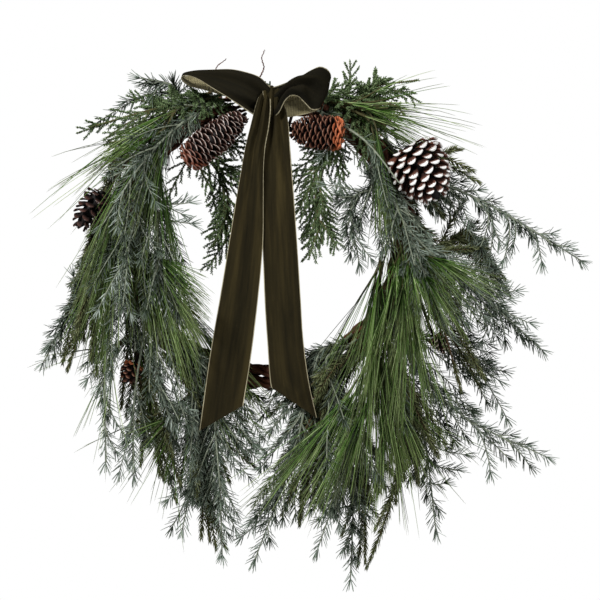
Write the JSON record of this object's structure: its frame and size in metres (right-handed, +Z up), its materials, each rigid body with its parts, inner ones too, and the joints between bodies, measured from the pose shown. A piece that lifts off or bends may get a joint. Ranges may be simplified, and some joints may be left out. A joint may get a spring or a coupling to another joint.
{
  "type": "evergreen wreath",
  "caption": "Hanging evergreen wreath: pine, frosted fir, spruce and cedar sprigs wired to a twisted vine ring, with cones and a velvet bow.",
  "frame": {"origin": "inside top of the wire hanging eye behind the top of the ring, where it bears on a nail or hook", "axes": "+Z up as it hangs, -Y out of its front, +X to the right seen from the front; the wall lies towards +Y"},
  "size_m": [0.7801, 0.1769, 0.7543],
  "materials": {
    "vine": "rough dry bark",
    "florist_wire": "dull green enamel",
    "velvet": "olive brown velvet pile with a beige woven edge",
    "cone_scales": "dry scales, some with whitened tips",
    "frosted_needles": "waxy blue grey bloom",
    "pine_needles": "satin long needles",
    "spruce_needles": "matte olive needles",
    "cedar_scales": "matte scale leaves"
  },
  "bodies": {
    "root": {"vine_1": "vine", "vine_2": "vine", "vine_3": "vine", "vine_4": "vine", "binding_wire": "florist_wire", "hanging_loop": "florist_wire", "bow_tie_wire": "florist_wire", "velvet_ribbon": "velvet", "cone_1": "cone_scales", "cone_2": "cone_scales", "cone_3": "cone_scales", "cone_4": "cone_scales", "cone_5": "cone_scales", "cone_6": "cone_scales", "cedar_sprig_1": "cedar_scales", "pine_spray_1": "pine_needles", "cedar_sprig_2": "cedar_scales", "frosted_sprig_1": "frosted_needles", "frosted_sprig_2": "frosted_needles", "frosted_sprig_3": "frosted_needles", "spruce_tail_1": "spruce_needles", "frosted_sprig_4": "frosted_needles", "pine_spray_2": "pine_needles", "pine_spray_3": "pine_needles", "spruce_tail_2": "spruce_needles", "frosted_sprig_5": "frosted_needles", "spruce_tail_3": "spruce_needles", "frosted_sprig_6": "frosted_needles", "frosted_sprig_7": "frosted_needles", "pine_spray_4": "pine_needles", "spruce_tail_4": "spruce_needles", "frosted_sprig_8": "frosted_needles", "frosted_sprig_9": "frosted_needles", "frosted_sprig_10": "frosted_needles", "spruce_tail_5": "spruce_needles", "frosted_sprig_11": "frosted_needles", "spruce_tail_6": "spruce_needles", "frosted_sprig_12": "frosted_needles", "cedar_sprig_3": "cedar_scales", "pine_spray_5": "pine_needles", "cedar_sprig_4": "cedar_scales", "frosted_sprig_13": "frosted_needles", "frosted_sprig_14": "frosted_needles", "pine_spray_6": "pine_needles", "frosted_sprig_15": "frosted_needles", "spruce_tail_7": "spruce_needles", "frosted_sprig_16": "frosted_needles", "frosted_sprig_17": "frosted_needles", "pine_spray_7": "pine_needles", "spruce_tail_8": "spruce_needles", "frosted_sprig_18": "frosted_needles", "frosted_sprig_19": "frosted_needles", "pine_spray_8": "pine_needles", "spruce_tail_9": "spruce_needles", "frosted_sprig_20": "frosted_needles", "frosted_sprig_21": "frosted_needles", "spruce_tail_10": "spruce_needles", "pine_spray_9": "pine_needles"}
  },
  "joints": []
}
